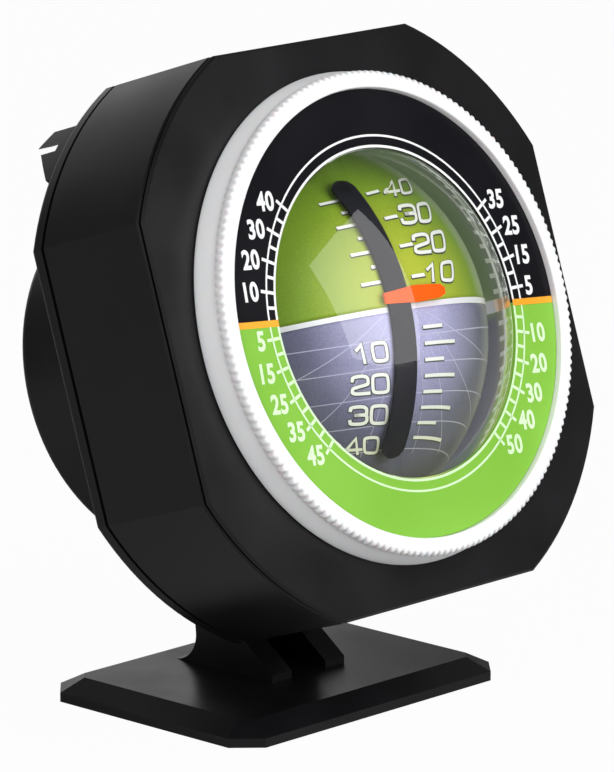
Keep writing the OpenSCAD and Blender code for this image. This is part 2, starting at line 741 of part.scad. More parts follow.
module horizon_band() color("white") in_ball() difference() {
    union() {
        translate([0, 0, -band_w / 2]) cylinder(r = ball_r + 0.05, h = band_w);
        cross_bar(1.5, -ball_r + shell_t + 0.1, ball_r - shell_t - 0.1);
    }
    translate([0, 0, -5]) cylinder(r = ball_r - shell_t - 1.7, h = 10);
    cross_bar(pin_r + joint_gap, -far / 2, far / 2);
}

// Brass weight on the ball's floor, set so that the ball reads as shown when the stand is level
module ballast() color("goldenrod") translate([0, -dial_forward, dial_z] + [0, ball_y * cos(lean), -ball_y * sin(lean)])
    intersection() {
        sphere(ball_r - shell_t);
        translate([-far, -far, -2 * far - ballast_low]) cube(2 * far);
    }

base_stand();
adhesive_pad();
pivot_bolt();
pivot_nut();
friction_washers();
main_case();
front_cover();
rear_cover();
drum_housing();
cover_screws();
power_socket();
socket_nut();
socket_contacts();
circuit_board();
led_lamps();
resistors();
power_leads();
board_screws();
wave_spring();
bezel_ring();
retaining_ring();
scale_ring();
clamp_ring();
clamp_screws();
dome();
dome_seal();
capsule_cup();
fill_plug();
plug_seal();
expansion_bellows();
arc_bar();
arc_posts();
marker();
roll_bush();
roll_yoke();
roll_shaft();
pitch_pins();
ball_upper();
ball_lower();
horizon_band();
ballast();
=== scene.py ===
"""Looks of a dashboard inclinometer: black stand and case, white knurled ring, printed roll scale,
and a liquid-filled window with a two-coloured pitch ball behind a black arc and an orange pointer."""
import math

import bpy
import numpy as np
from mathutils import Matrix


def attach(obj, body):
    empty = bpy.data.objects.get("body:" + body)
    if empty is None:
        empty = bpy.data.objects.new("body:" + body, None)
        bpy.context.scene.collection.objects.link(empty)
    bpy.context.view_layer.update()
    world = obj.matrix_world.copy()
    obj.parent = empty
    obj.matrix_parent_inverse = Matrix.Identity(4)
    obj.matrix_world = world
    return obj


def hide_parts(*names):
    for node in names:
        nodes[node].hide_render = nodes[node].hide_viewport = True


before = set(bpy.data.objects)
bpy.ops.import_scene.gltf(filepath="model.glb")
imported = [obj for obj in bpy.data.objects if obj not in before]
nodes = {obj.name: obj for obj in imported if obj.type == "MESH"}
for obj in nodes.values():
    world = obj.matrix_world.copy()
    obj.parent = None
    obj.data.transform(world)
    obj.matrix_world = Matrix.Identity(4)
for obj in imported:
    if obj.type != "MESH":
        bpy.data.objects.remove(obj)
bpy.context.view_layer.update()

# ---------------------------------------------------------------------------------------------
# Stand and case: five mouldings in black ABS with a satin spark-eroded texture. The front cover,
# middle shell and rear plate are screwed together and leave fine parting grooves; the two cheeks
# of the stand are moulded in one with its bevelled plate.
# ---------------------------------------------------------------------------------------------


def add_node(tree, kind, **values):
    """A shader node of this kind; values set its plain properties or, by socket name, its inputs."""
    node = tree.nodes.new(kind)
    for key, value in values.items():
        if hasattr(node, key):
            setattr(node, key, value)
        else:
            node.inputs[key.replace("_", " ")].default_value = value
    return node


def socket_group(name, inputs, outputs):
    """An empty shader group with number inputs and the outputs given, and its input and output nodes."""
    group = bpy.data.node_groups.new(name, "ShaderNodeTree")
    for label, value in inputs.items():
        socket = group.interface.new_socket(label, in_out="INPUT", socket_type="NodeSocketFloat")
        socket.default_value = value
    for label, kind in outputs.items():
        group.interface.new_socket(label, in_out="OUTPUT", socket_type=kind)
    return group, group.nodes.new("NodeGroupInput"), group.nodes.new("NodeGroupOutput")


def wire(tree, *pairs):
    """Links every (output, input) pair in a shader tree."""
    for source, target in pairs:
        tree.links.new(source, target)


# Surface grain for every material: fine pits and slow shading, both from noise on object coordinates
# in metres. Height is the pits, Tone the slow 0-1 shading and Fleck a few sharp bright specks.
grain_group, grain_in, grain_out = socket_group(
    "surface_grain", {"Pits": 2500.0, "Blotch": 60.0, "Stretch": 1.0},
    {"Height": "NodeSocketFloat", "Tone": "NodeSocketFloat", "Fleck": "NodeSocketFloat"})
place = grain_group.nodes.new("ShaderNodeTexCoord")
stretch = grain_group.nodes.new("ShaderNodeCombineXYZ")
stretch.inputs[1].default_value = stretch.inputs[2].default_value = 1.0
scaled = add_node(grain_group, "ShaderNodeVectorMath", operation="MULTIPLY")
pits = add_node(grain_group, "ShaderNodeTexNoise", Detail=3.0, Roughness=0.6)
blotch = add_node(grain_group, "ShaderNodeTexNoise", Detail=2.0, Roughness=0.5)
flecks = add_node(grain_group, "ShaderNodeTexVoronoi", feature="F1")
fleck_edge = add_node(grain_group, "ShaderNodeMapRange", From_Min=0.22, From_Max=0.05)
wire(grain_group,
     (grain_in.outputs["Stretch"], stretch.inputs[0]),
     (place.outputs["Object"], scaled.inputs[0]),
     (stretch.outputs[0], scaled.inputs[1]),
     (scaled.outputs[0], pits.inputs["Vector"]),
     (grain_in.outputs["Pits"], pits.inputs["Scale"]),
     (place.outputs["Object"], blotch.inputs["Vector"]),
     (grain_in.outputs["Blotch"], blotch.inputs["Scale"]),
     (place.outputs["Object"], flecks.inputs["Vector"]),
     (grain_in.outputs["Pits"], flecks.inputs["Scale"]),
     (flecks.outputs["Distance"], fleck_edge.inputs["Value"]),
     (pits.outputs["Fac"], grain_out.inputs["Height"]),
     (blotch.outputs["Fac"], grain_out.inputs["Tone"]),
     (fleck_edge.outputs["Result"], grain_out.inputs["Fleck"]))
TONE_LOW, TONE_HIGH = 0.3, 0.7     # between these the noise's values lie, nearly all of them


def finish_material(name, dark, light, rough, pits=2500.0, blotch=60.0, depth=0.02, stretch=1.0, **sockets):
    """A grained finish: Tone blends the dark and light colours and moves the roughness between its
    two values, Height dents the normal by depth millimetres; other names set the shader's sockets."""
    made = bpy.data.materials.new(name)
    made.use_nodes = True
    tree = made.node_tree
    shader = tree.nodes["Principled BSDF"]
    for key, value in sockets.items():
        shader.inputs[key.replace("_", " ")].default_value = value
    grain = tree.nodes.new("ShaderNodeGroup")
    grain.node_tree = grain_group
    for label, value in (("Pits", pits), ("Blotch", blotch), ("Stretch", stretch)):
        grain.inputs[label].default_value = value
    tint = tree.nodes.new("ShaderNodeValToRGB")
    for stop, position, colour in zip(tint.color_ramp.elements, (TONE_LOW, TONE_HIGH), (dark, light)):
        stop.position, stop.color = position, (*colour, 1)
    polish = add_node(tree, "ShaderNodeMapRange", From_Min=TONE_LOW, From_Max=TONE_HIGH,
                      To_Min=rough[0], To_Max=rough[1])
    dent = add_node(tree, "ShaderNodeBump", Strength=1.0, Distance=depth / 1000)
    wire(tree,
         (grain.outputs["Tone"], tint.inputs["Fac"]),
         (tint.outputs["Color"], shader.inputs["Base Color"]),
         (grain.outputs["Tone"], polish.inputs["Value"]),
         (polish.outputs["Result"], shader.inputs["Roughness"]),
         (grain.outputs["Height"], dent.inputs["Height"]),
         (dent.outputs["Normal"], shader.inputs["Normal"]))
    return made


def dress(material, *names):
    """Puts a material on CAD nodes."""
    for name in names:
        nodes[name].data.materials.clear()
        nodes[name].data.materials.append(material)


satin_black = finish_material("satin_black_abs", (0.0048, 0.0042, 0.0050), (0.0068, 0.0060, 0.0072),
                              (0.30, 0.37), pits=5200.0, blotch=90.0, depth=0.004, Specular_IOR_Level=0.30)
dress(satin_black, "base_stand", "main_case", "front_cover", "rear_cover", "drum_housing")

# ---------------------------------------------------------------------------------------------
# Stick-on pad and tilt pivot: a grey acrylic foam pad in the plate's recess, and a plated socket
# screw with its nut and two nylon washers that clamp the head's lug between the cheeks.
# ---------------------------------------------------------------------------------------------
dress(finish_material("acrylic_foam", (0.45, 0.45, 0.46), (0.62, 0.62, 0.63), (0.85, 0.95), pits=1800.0,
                      depth=0.12), "adhesive_pad")
zinc_plate = finish_material("zinc_plated_steel", (0.52, 0.53, 0.55), (0.68, 0.69, 0.70), (0.22, 0.36),
                             pits=2600.0, blotch=300.0, depth=0.004, stretch=0.15, Metallic=1.0)
dress(zinc_plate, "pivot_bolt", "pivot_nut")
dress(finish_material("natural_nylon", (0.70, 0.68, 0.62), (0.80, 0.79, 0.74), (0.45, 0.55), depth=0.01),
      "friction_washers")

# ---------------------------------------------------------------------------------------------
# Case screws and supply: four black-oxide cross-recess screws in counterbores at the back, and a
# small moulded barrel socket with a plated nut and brass contacts for the dial lamps.
# ---------------------------------------------------------------------------------------------
dress(finish_material("black_oxide_steel", (0.015, 0.015, 0.017), (0.035, 0.035, 0.040), (0.30, 0.42),
                      pits=3500.0, depth=0.006, Metallic=0.6), "cover_screws")
dress(finish_material("socket_moulding", (0.008, 0.008, 0.009), (0.014, 0.014, 0.015), (0.25, 0.32),
                      depth=0.004), "power_socket")
dress(zinc_plate, "socket_nut")
turned_brass = finish_material("turned_brass", (0.60, 0.42, 0.16), (0.78, 0.58, 0.26), (0.20, 0.32),
                               pits=3000.0, blotch=400.0, depth=0.004, stretch=0.1, Metallic=1.0)
dress(turned_brass, "socket_contacts")

# ---------------------------------------------------------------------------------------------
# Lamp board: a ring of glass-epoxy laminate under green solder resist on four standoffs, with six
# white lamps that light the dial from behind, three black resistors and two red silicone leads.
# ---------------------------------------------------------------------------------------------
dress(finish_material("green_resist", (0.010, 0.10, 0.030), (0.020, 0.17, 0.055), (0.28, 0.40),
                      blotch=700.0, depth=0.015), "circuit_board")
dress(finish_material("lamp_moulding", (0.80, 0.78, 0.66), (0.90, 0.88, 0.80), (0.20, 0.30), depth=0.003),
      "led_lamps")
dress(finish_material("chip_body", (0.010, 0.010, 0.012), (0.030, 0.030, 0.032), (0.35, 0.50), depth=0.006),
      "resistors")
dress(finish_material("silicone_red", (0.36, 0.015, 0.010), (0.50, 0.030, 0.018), (0.40, 0.55), depth=0.01),
      "power_leads")
dress(zinc_plate, "board_screws")

# ---------------------------------------------------------------------------------------------
# Drag washer and hidden dial mouldings: a wavy spring-steel washer behind the front cover gives the
# dial its friction; the keeper ring and the clamp ring are black mouldings, the latter screwed down.
# ---------------------------------------------------------------------------------------------
dress(finish_material("spring_steel", (0.42, 0.42, 0.43), (0.58, 0.58, 0.58), (0.20, 0.34), pits=3000.0,
                      depth=0.004, stretch=0.2, Metallic=1.0), "wave_spring")
dress(finish_material("inner_black_abs", (0.020, 0.020, 0.021), (0.032, 0.032, 0.033), (0.45, 0.60),
                      depth=0.01), "retaining_ring", "clamp_ring")
dress(zinc_plate, "clamp_screws", "roll_shaft", "pitch_pins")
dress(turned_brass, "roll_bush", "ballast")

# ---------------------------------------------------------------------------------------------
# Pitch ball: two thin hollow half shells, olive green above and violet grey below, glued to a white
# band that is the horizon. It floats in the liquid on two pins in a white moulded yoke and is
# weighted by brass inside.
# ---------------------------------------------------------------------------------------------
# rest angles as photographed: the dial's lean back and its turn, the yoke's roll and the ball's pitch
LEAN, DIAL_TURN, YOKE_ROLL, BALL_PITCH = (math.radians(a) for a in (18.34, 5.3, 2.3, -1.3))
DIAL_CENTRE = np.array([0.0, -23.0, 57.5])              # mm, on the scale's front face
BALL_DEPTH, BALL_R, BALL_WALL, BAND = 23.0, 21.2, 1.3, 0.65     # mm; BAND is the white band's height


def turn_x(angle):
    """Rotation by angle about X, as a 3 by 3 matrix."""
    c, s = math.cos(angle), math.sin(angle)
    return np.array([[1, 0, 0], [0, c, -s], [0, s, c]])


def turn_y(angle):
    """Rotation by angle about Y, as a 3 by 3 matrix."""
    c, s = math.cos(angle), math.sin(angle)
    return np.array([[c, 0, s], [0, 1, 0], [-s, 0, c]])


dial_axes = turn_x(-LEAN) @ turn_y(DIAL_TURN)
ball_axes = dial_axes @ turn_y(-YOKE_ROLL) @ turn_x(BALL_PITCH)
ball_centre = DIAL_CENTRE + dial_axes @ np.array([0.0, BALL_DEPTH, 0.0])


def on_dial(points):
    """Dial millimetres (right, back, up from the dial's centre) to the frame's metres."""
    return (points @ dial_axes.T + DIAL_CENTRE) / 1000


def on_ball(azimuth, elevation, radius):
    """A direction on the ball (azimuth to the right and elevation above the band, in degrees) at this
    radius, to metres: (sin az cos el, -cos az cos el, sin el) times the radius, turned with the ball."""
    a, e = np.radians(azimuth), np.radians(elevation)
    points = np.stack([np.sin(a) * np.cos(e), -np.cos(a) * np.cos(e), np.sin(e)], -1)
    return (points * np.expand_dims(radius, -1) @ ball_axes.T + ball_centre) / 1000


def grid_faces(rows, columns, close_rows=False, close_columns=False):
    """Quads of a grid of points numbered row by row; a closed direction joins its last line to its
    first."""
    i = np.arange(rows if close_rows else rows - 1)[:, None]
    j = np.arange(columns if close_columns else columns - 1)[None, :]
    k, n = (i + 1) % rows, (j + 1) % columns
    return np.stack([i * columns + j, i * columns + n, k * columns + n, k * columns + j], -1).reshape(-1, 4)


def capped_faces(rows, around, flip=False):
    """Faces of a profile of this many rows turned all the way round, with a cap at each of its ends;
    flip turns them all over."""
    last = (rows - 1) * around
    faces = grid_faces(rows, around, close_columns=True)[:, ::-1].tolist()
    faces += [list(range(around)), list(range(last, last + around))[::-1]]
    return [face[::-1] for face in faces] if flip else faces


def make_piece(name, points, faces, materials, face_slots=None, smooth=True):
    """A mesh object from an array of points in metres and an array or list of faces."""
    mesh = bpy.data.meshes.new(name)
    mesh.from_pydata(points.reshape(-1, 3).tolist(), [],
                     faces.tolist() if isinstance(faces, np.ndarray) else faces)
    for material in materials:
        mesh.materials.append(material)
    if face_slots is not None:
        mesh.polygons.foreach_set("material_index", np.asarray(face_slots, np.int32))
    mesh.polygons.foreach_set("use_smooth", np.full(len(mesh.polygons), smooth))
    mesh.update()
    piece = bpy.data.objects.new(name, mesh)
    bpy.context.scene.collection.objects.link(piece)
    return piece


def ball_shade(name, highlight_spot, inner, outer, limb_shade, limb_glow, sparkle, rough):
    """Printed ball colour with painted light: a painted highlight runs from the inner colour at the
    spot given (ball millimetres) to the outer, printed one, and painted shade darkens it to the rim
    colour at the far edges; fine dots and flecks break it up, and a painted glow lies on the limb seen
    through the liquid, by the facing angle."""
    made = finish_material(name, outer, inner, rough, pits=5200.0, blotch=45.0, depth=0.002,
                           Specular_IOR_Level=0.3)
    tree = made.node_tree
    shader = tree.nodes["Principled BSDF"]
    grain = next(n for n in tree.nodes if n.type == "GROUP")
    where = tree.nodes.new("ShaderNodeTexCoord")
    # painted highlight around the spot near the ball's front, fading to painted shade towards the limb
    highlight_middle = (ball_centre + ball_axes @ np.array(highlight_spot)) / 1000
    reach = add_node(tree, "ShaderNodeVectorMath", operation="DISTANCE")
    reach.inputs[1].default_value = highlight_middle
    highlight_to_limb_shade = tree.nodes.new("ShaderNodeValToRGB")
    highlight_to_limb_shade.color_ramp.elements[0].color, highlight_to_limb_shade.color_ramp.elements[1].color = (*inner, 1), (*limb_shade, 1)
    highlight_to_limb_shade.color_ramp.elements.new(0.42).color = (*outer, 1)
    measured = add_node(tree, "ShaderNodeMapRange", From_Min=0.004, From_Max=0.030)
    mottled = add_node(tree, "ShaderNodeMapRange", From_Min=TONE_LOW, From_Max=TONE_HIGH,
                       To_Min=0.86, To_Max=1.12)
    shaded = add_node(tree, "ShaderNodeVectorMath", operation="SCALE")
    lit = add_node(tree, "ShaderNodeMapRange", To_Min=1.0, To_Max=1.0 + sparkle)
    bright = add_node(tree, "ShaderNodeVectorMath", operation="SCALE")
    # painted glow: the colour turns pale at grazing angles on the limb
    facing = add_node(tree, "ShaderNodeLayerWeight", Blend=0.5)
    limb = add_node(tree, "ShaderNodeMapRange", From_Min=0.72, From_Max=0.86)
    limb_glowed = add_node(tree, "ShaderNodeMix", data_type="RGBA")
    limb_glowed.inputs[7].default_value = (*limb_glow, 1)
    wire(tree,
         (where.outputs["Object"], reach.inputs[0]),
         (reach.outputs["Value"], measured.inputs["Value"]),
         (measured.outputs["Result"], highlight_to_limb_shade.inputs["Fac"]),
         (grain.outputs["Height"], mottled.inputs["Value"]),
         (highlight_to_limb_shade.outputs["Color"], shaded.inputs[0]),
         (mottled.outputs["Result"], shaded.inputs["Scale"]),
         (grain.outputs["Fleck"], lit.inputs["Value"]),
         (shaded.outputs[0], bright.inputs[0]),
         (lit.outputs["Result"], bright.inputs["Scale"]),
         (facing.outputs["Facing"], limb.inputs["Value"]),
         (limb.outputs["Result"], limb_glowed.inputs[0]),
         (bright.outputs[0], limb_glowed.inputs[6]),
         (limb_glowed.outputs[2], shader.inputs["Base Color"]))
    return made


# each print has a painted highlight near the ball's front, painted shade towards its limb and a painted
# glow at the very edge
green_print_painted_light = ball_shade("ball_green_print_painted_light", (2.5, -20.6, 1.5), (0.44, 0.51, 0.038), (0.19, 0.32, 0.016),
                         (0.045, 0.12, 0.012), (0.36, 0.46, 0.25), 0.25, (0.35, 0.45))
violet_print_painted_light = ball_shade("ball_violet_print_painted_light", (1.5, -20.7, -1.0), (0.47, 0.46, 0.71), (0.14, 0.14, 0.235),
                          (0.050, 0.050, 0.085), (0.28, 0.29, 0.36), 1.2, (0.30, 0.40))


def half_shell(name, side, material, node, steps=64, around=192):
    """Half of the hollow ball: a wall profile from the outer pole to the band and back along the
    inside, turned about the ball's upright axis; side is 1 above the band and -1 below."""
    top = 90 - 1e-3                                     # just off the pole, where a tiny cap closes it
    rise = np.linspace(top, math.degrees(math.asin(BAND / 2 / BALL_R)), steps)
    back = np.linspace(math.degrees(math.asin(BAND / 2 / (BALL_R - BALL_WALL))), top, steps)
    elevation = np.concatenate([rise, back])[:, None] * side
    radius = np.concatenate([np.full(steps, BALL_R), np.full(steps, BALL_R - BALL_WALL)])[:, None]
    azimuth = np.linspace(0, 360, around, endpoint=False)[None, :]
    points = on_ball(*np.broadcast_arrays(azimuth, elevation, radius))
    piece = make_piece(name, points, capped_faces(2 * steps, around, flip=side > 0), [material])
    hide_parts(node)
    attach(piece, "ball")
    return piece


half_shell("ball_green_half", 1, green_print_painted_light, "ball_upper")
half_shell("ball_violet_half", -1, violet_print_painted_light, "ball_lower")
dress(finish_material("horizon_white", (0.80, 0.80, 0.86), (0.90, 0.90, 0.95), (0.35, 0.45), depth=0.003),
      "horizon_band", "roll_yoke")

# Print on the ball: cream-white pitch ticks and squarish outlined numbers, each over its own thin
# dark shadow line, and a faint perspective grid on the lower half. All of it is ink a few hundredths
# of a millimetre thick, screened on the shells.
INK = 0.05                                              # mm, the height of one layer of ink
ball_ink = finish_material("ball_ink_white", (0.86, 0.88, 0.82), (0.92, 0.94, 0.88), (0.40, 0.50),
                           depth=0.002)
ball_shadow_ink = finish_material("ball_ink_shadow", (0.035, 0.045, 0.03), (0.05, 0.06, 0.045),
                                  (0.45, 0.55), depth=0.002)
grid_ink = finish_material("ball_grid_ink", (0.42, 0.42, 0.60), (0.58, 0.58, 0.76), (0.40, 0.50),
                           depth=0.002)


def softened(path, times=2, closed=False):
    """Cuts every corner of a polyline at a quarter of its sides, this many times, keeping open ends."""
    p = np.asarray(path, float)
    for _ in range(times):
        q = np.roll(p, -1, 0) if closed else p[1:]
        p_from = p if closed else p[:-1]
        cut = np.stack([0.75 * p_from + 0.25 * q, 0.25 * p_from + 0.75 * q], 1).reshape(-1, 2)
        p = cut if closed else np.concatenate([p[:1], cut, p[-1:]])
    return np.concatenate([p, p[:1]]) if closed else p


def ribbon(path, width):
    """Both edges of a flat stroke: the path moved half a width to each side along its normals, with
    mitred corners and ends drawn out by half a width. Returns a (2, n, 2) array."""
    p = np.asarray(path, float)
    closed = np.allclose(p[0], p[-1])
    step = np.diff(p, axis=0)
    step /= np.linalg.norm(step, axis=1)[:, None]
    before = np.concatenate([step[-1:] if closed else step[:1], step])
    after = np.concatenate([step, step[:1] if closed else step[-1:]])
    tangent = before + after
    tangent /= np.linalg.norm(tangent, axis=1)[:, None]
    mitre = 1 / np.maximum((tangent * before).sum(1), 0.6)
    normal = np.stack([-tangent[:, 1], tangent[:, 0]], 1) * (mitre * width / 2)[:, None]
    if not closed:
        p[0] -= step[0] * width / 2
        p[-1] += step[-1] * width / 2
    return np.stack([p - normal, p + normal])


def joined(parts):
    """Several (points, faces) pairs as one."""
    points, faces, start = [], [], 0
    for p, f in parts:
        points.append(np.asarray(p).reshape(-1, 3))
        faces.append(np.asarray(f) + start)
        start += len(points[-1])
    return np.concatenate(points), np.concatenate(faces)


# Strokes of the squarish digits in a cell one wide and one high, each with whether it is a closed loop
DIGITS = {
    "0": [([(0, 0.14), (0, 0.86), (0.14, 1), (0.86, 1), (1, 0.86), (1, 0.14), (0.86, 0), (0.14, 0)], True)],
    "1": [([(0.22, 0.74), (0.58, 1), (0.58, 0)], False)],
    "2": [([(0.02, 0.80), (0.05, 1), (0.95, 1), (0.98, 0.56), (0.9, 0.50), (0.12, 0.36), (0.02, 0.30),
            (0.02, 0), (1, 0)], False)],
    "3": [([(0.02, 0.84), (0.06, 1), (0.95, 1), (0.98, 0.56), (0.9, 0.52), (0.34, 0.52)], False),
          ([(0.34, 0.52), (0.9, 0.52), (1, 0.44), (0.98, 0), (0.04, 0), (0, 0.18)], False)],
    "4": [([(0.74, 0), (0.74, 1), (0.02, 0.32), (0.02, 0.26), (1.02, 0.26)], False)],
}
SHARP = {"1", "4"}                                      # digits whose corners aren't rounded
DIGIT_W, DIGIT_GAP, DIGIT_H = 2.15, 0.55, 2.15          # mm, before the number is bent onto the ball
NUMBER_SIZE = (4.9, DIGIT_H)                            # mm, the box of a two-digit number


def number_ribbons(text, width):
    """Strokes of a number as flat ribbons of this width, in a box of NUMBER_SIZE."""
    made = []
    for i, digit in enumerate(text):
        for stroke, closed in DIGITS[digit]:
            path = np.array(stroke, float) if digit in SHARP else softened(stroke, 2, closed)
            made.append(ribbon(path * [DIGIT_W, DIGIT_H] + [i * (DIGIT_W + DIGIT_GAP), 0], width))
    return made


def on_quad(points, corners, size):
    """Flat points inside a size box to (azimuth, elevation), by blending the four corners given as
    top left, top right, bottom left, bottom right."""
    u, v = (points[..., :1] / size[0]), (points[..., 1:] / size[1])
    tl, tr, bl, br = (np.array(c, float) for c in corners)
    return (bl * (1 - u) + br * u) * (1 - v) + (tl * (1 - u) + tr * u) * v


# number and half (u upper, l lower), with its corners' (azimuth, elevation) on the ball in degrees:
# top left, top right, bottom left, bottom right
ball_numbers = {
    "40u": ((27.0, 44.1), (55.0, 41.0), (19.8, 39.0), (42.5, 37.0)),
    "30u": ((21.6, 34.2), (46.7, 31.9), (16.4, 27.8), (36.2, 26.4)),
    "20u": ((17.2, 23.0), (39.6, 22.3), (14.2, 17.0), (33.2, 16.2)),
    "10u": ((15.6, 12.4), (34.4, 12.4), (13.6, 7.5), (30.0, 6.4)),
    "10l": ((-21.9, -9.8), (-9.1, -10.3), (-21.1, -15.6), (-8.7, -16.4)),
    "20l": ((-23.3, -20.0), (-9.0, -21.0), (-23.7, -25.9), (-8.3, -27.1)),
    "30l": ((-24.7, -30.3), (-8.4, -31.7), (-24.9, -36.5), (-7.6, -38.1)),
    "40l": ((-27.4, -41.8), (-10.1, -43.0), (-25.5, -47.9), (-8.8, -49.2)),
}
STROKE, DIGIT_SHADOW, TICK_SHADOW = 0.43, 0.66, 0.58    # mm, widths of the white and dark lines
white_parts, shadow_parts = [], []
for label, corners in ball_numbers.items():
    for parts, stroke, lift, shift in ((white_parts, STROKE, 2 * INK, 0.0),
                                       (shadow_parts, DIGIT_SHADOW, INK, 0.06)):
        for edge in number_ribbons(label[:2], stroke):
            where = on_quad(edge + [shift, -shift], corners, NUMBER_SIZE)
            parts.append((on_ball(where[..., 0], where[..., 1], np.full(where.shape[:-1], BALL_R + lift)),
                          grid_faces(*edge.shape[:2])))


def ball_line(x0, x1, elevation, width, lift, steps=12):
    """A tick across the ball at one elevation: x runs between two distances in millimetres, and the
    azimuth at each is asin(x / (radius cos elevation))."""
    x = np.linspace(x0, x1, steps)[None, :]
    e = elevation + np.array([-0.5, 0.5])[:, None] * math.degrees(width / BALL_R)
    a = np.degrees(np.arcsin(x / (BALL_R * np.cos(np.radians(e)))))
    return on_ball(a, np.broadcast_to(e, a.shape), np.full(a.shape, BALL_R + lift)), grid_faces(2, steps)


# a tick every five degrees, given by where it starts and ends to the right of the ball's middle, in mm:
# longer ones at the tens, and above the band a second, short one that points at each number
for level in range(5, 45, 5):
    long = level % 10 == 0
    up, down = 1.07 * level - 1.2, -(1.055 * level + 2.0)       # the ticks' elevations in degrees
    strokes = [(2.8, 8.65 if long else 6.35, down)]
    if level > 5:
        reach = 5.25 - 0.02 * level if long else 3.0 - 0.008 * level    # a little shorter towards the pole
        strokes.append((-reach, -1.2, up))
    if long:
        strokes.append((2.75, 5.15, up))
    for x0, x1, elevation in strokes:
        white_parts.append(ball_line(x0, x1, elevation, STROKE, 2 * INK))
        shadow_parts.append(ball_line(x0 - 0.08, x1 + 0.1, elevation - 0.25, TICK_SHADOW, INK))


def ball_path(points, width):
    """A grid line on the ball through (azimuth, elevation) points, as a ribbon of this width in mm."""
    edge = ribbon(softened(points, 3), math.degrees(width / BALL_R))
    return (on_ball(edge[..., 0], edge[..., 1], np.full(edge.shape[:-1], BALL_R + 0.6 * INK)),
            grid_faces(*edge.shape[:2]))


ACROSS, FANNED = 0.13, 0.11                             # mm, widths of the grid's two sets of lines
grid_parts = []
for elevation in (-9.6, -18.8, -28.6, -38.6, -48.4):
    path = [(azimuth, elevation + rise) for azimuth, rise in
            ((-70, 3.2), (-45, 1.3), (-20, 0), (0, 0), (20, 0), (45, 1.3), (70, 3.2))]
    grid_parts.append(ball_path(path, ACROSS))
for path in ([(-8, -1.5), (-21.4, -9.5), (-31.4, -13.8), (-42.8, -17.6), (-58, -21.5)],
             [(-5, -1.5), (-23.9, -25.3), (-29.4, -29.6), (-35.9, -33.6), (-48, -40)],
             [(-3, -1.5), (-9, -22), (-13, -38), (-18, -50)],
             [(8, -1.5), (24.2, -9.1), (39.1, -13.4), (57.1, -17.0), (66, -18.5)],
             [(6, -1.5), (24.4, -18.6), (36.3, -25.8), (53.0, -32.0), (64, -36)],
             [(4, -1.5), (18.6, -27.6), (26.1, -38.3), (41.5, -48.3)],
             [(1, -1.5), (7, -22), (11, -38), (16, -50)]):
    grid_parts.append(ball_path(path, FANNED))

for name, parts, ink in (("ball_numbers_and_ticks", white_parts, ball_ink),
                         ("ball_number_shadows", shadow_parts, ball_shadow_ink),
                         ("ball_grid_lines", grid_parts, grid_ink)):
    printed = make_piece(name, *joined(parts), [ink])
    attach(printed, "ball")

# ---------------------------------------------------------------------------------------------
# Liquid housing: a pale cup with a painted glow, and painted reflections on its wall, grey above
# the level line and khaki below it, with a faint ladder of lines beside the ball that is a painted
# reflection of the scale's ticks; a rubber seal, a filling plug seal and a bellows cap that takes up the
# liquid's expansion.
# ---------------------------------------------------------------------------------------------
# the cup's colours are painted reflections of the ball and the scale, and its emission is a painted glow
cup_painted_reflections_and_glow = finish_material("cup_painted_reflections_and_glow", (0.40, 0.41, 0.40), (0.48, 0.49, 0.48), (0.16, 0.24), depth=0.002,
                           Emission_Strength=0.16)
tree = cup_painted_reflections_and_glow.node_tree
shader = tree.nodes["Principled BSDF"]
place = tree.nodes.new("ShaderNodeTexCoord")
shades = []
# mm over which the colour changes: up across the level line, then back past the ball's middle
for axis, low, high in ((dial_axes[:, 2], -0.4, 0.4), (dial_axes[:, 1], 17.0, 19.8)):
    along = add_node(tree, "ShaderNodeVectorMath", operation="DOT_PRODUCT")
    along.inputs[1].default_value = axis
    start = float(axis @ DIAL_CENTRE)
    share = add_node(tree, "ShaderNodeMapRange", From_Min=(start + low) / 1000,
                     From_Max=(start + high) / 1000)
    wire(tree, (place.outputs["Object"], along.inputs[0]), (along.outputs["Value"], share.inputs["Value"]))
    shades.append(share)
# painted reflections on the wall: lower and upper colours near the window, then the same beside the ball
reflection_tints = []
for lower, upper in (((0.60, 0.65, 0.22), (0.42, 0.45, 0.42)), ((0.34, 0.34, 0.42), (0.34, 0.46, 0.24))):
    tint = add_node(tree, "ShaderNodeMix", data_type="RGBA")
    tint.inputs[6].default_value, tint.inputs[7].default_value = (*lower, 1), (*upper, 1)
    tree.links.new(shades[0].outputs["Result"], tint.inputs[0])
    reflection_tints.append(tint)
reflected_wall_colour = add_node(tree, "ShaderNodeMix", data_type="RGBA")
wire(tree,
     (shades[1].outputs["Result"], reflected_wall_colour.inputs[0]),
     (reflection_tints[0].outputs[2], reflected_wall_colour.inputs[6]),
     (reflection_tints[1].outputs[2], reflected_wall_colour.inputs[7]),
     (reflected_wall_colour.outputs[2], shader.inputs["Base Color"]),
     (reflected_wall_colour.outputs[2], shader.inputs["Emission Color"]))
dress(cup_painted_reflections_and_glow, "capsule_cup", "fill_plug")

# The ladder is a painted reflection of the scale's ticks on the cup's wall. Its line lies deepest at the
# level and comes forward to the top and bottom. Its ticks stand a step apart, long and short in turn, with
# the level marks in the middle one's place. Lengths in mm, angles in degrees up from the level.
WALL_R, LADDER_DEPTH, LADDER_CURVE, LADDER_END = 22.3, 17.1, 1.6, 52
TICK_ZERO, TICK_STEP, TICKS_EACH_WAY = 1.8, 3.65, 13
LINE_WIDTH, TICK_WIDTH = 0.85, 0.42
LEVEL_ANGLE, LEVEL_WIDTH = 2.3, 1.1


def ladder_depth(angle, most=math.inf):
    """Depth of the line at an angle: it comes forward with the square of the angle, which counts in
    units of 30 degrees and up to the most given."""
    return LADDER_DEPTH - LADDER_CURVE * np.minimum(np.abs(angle) / 30, most) ** 2


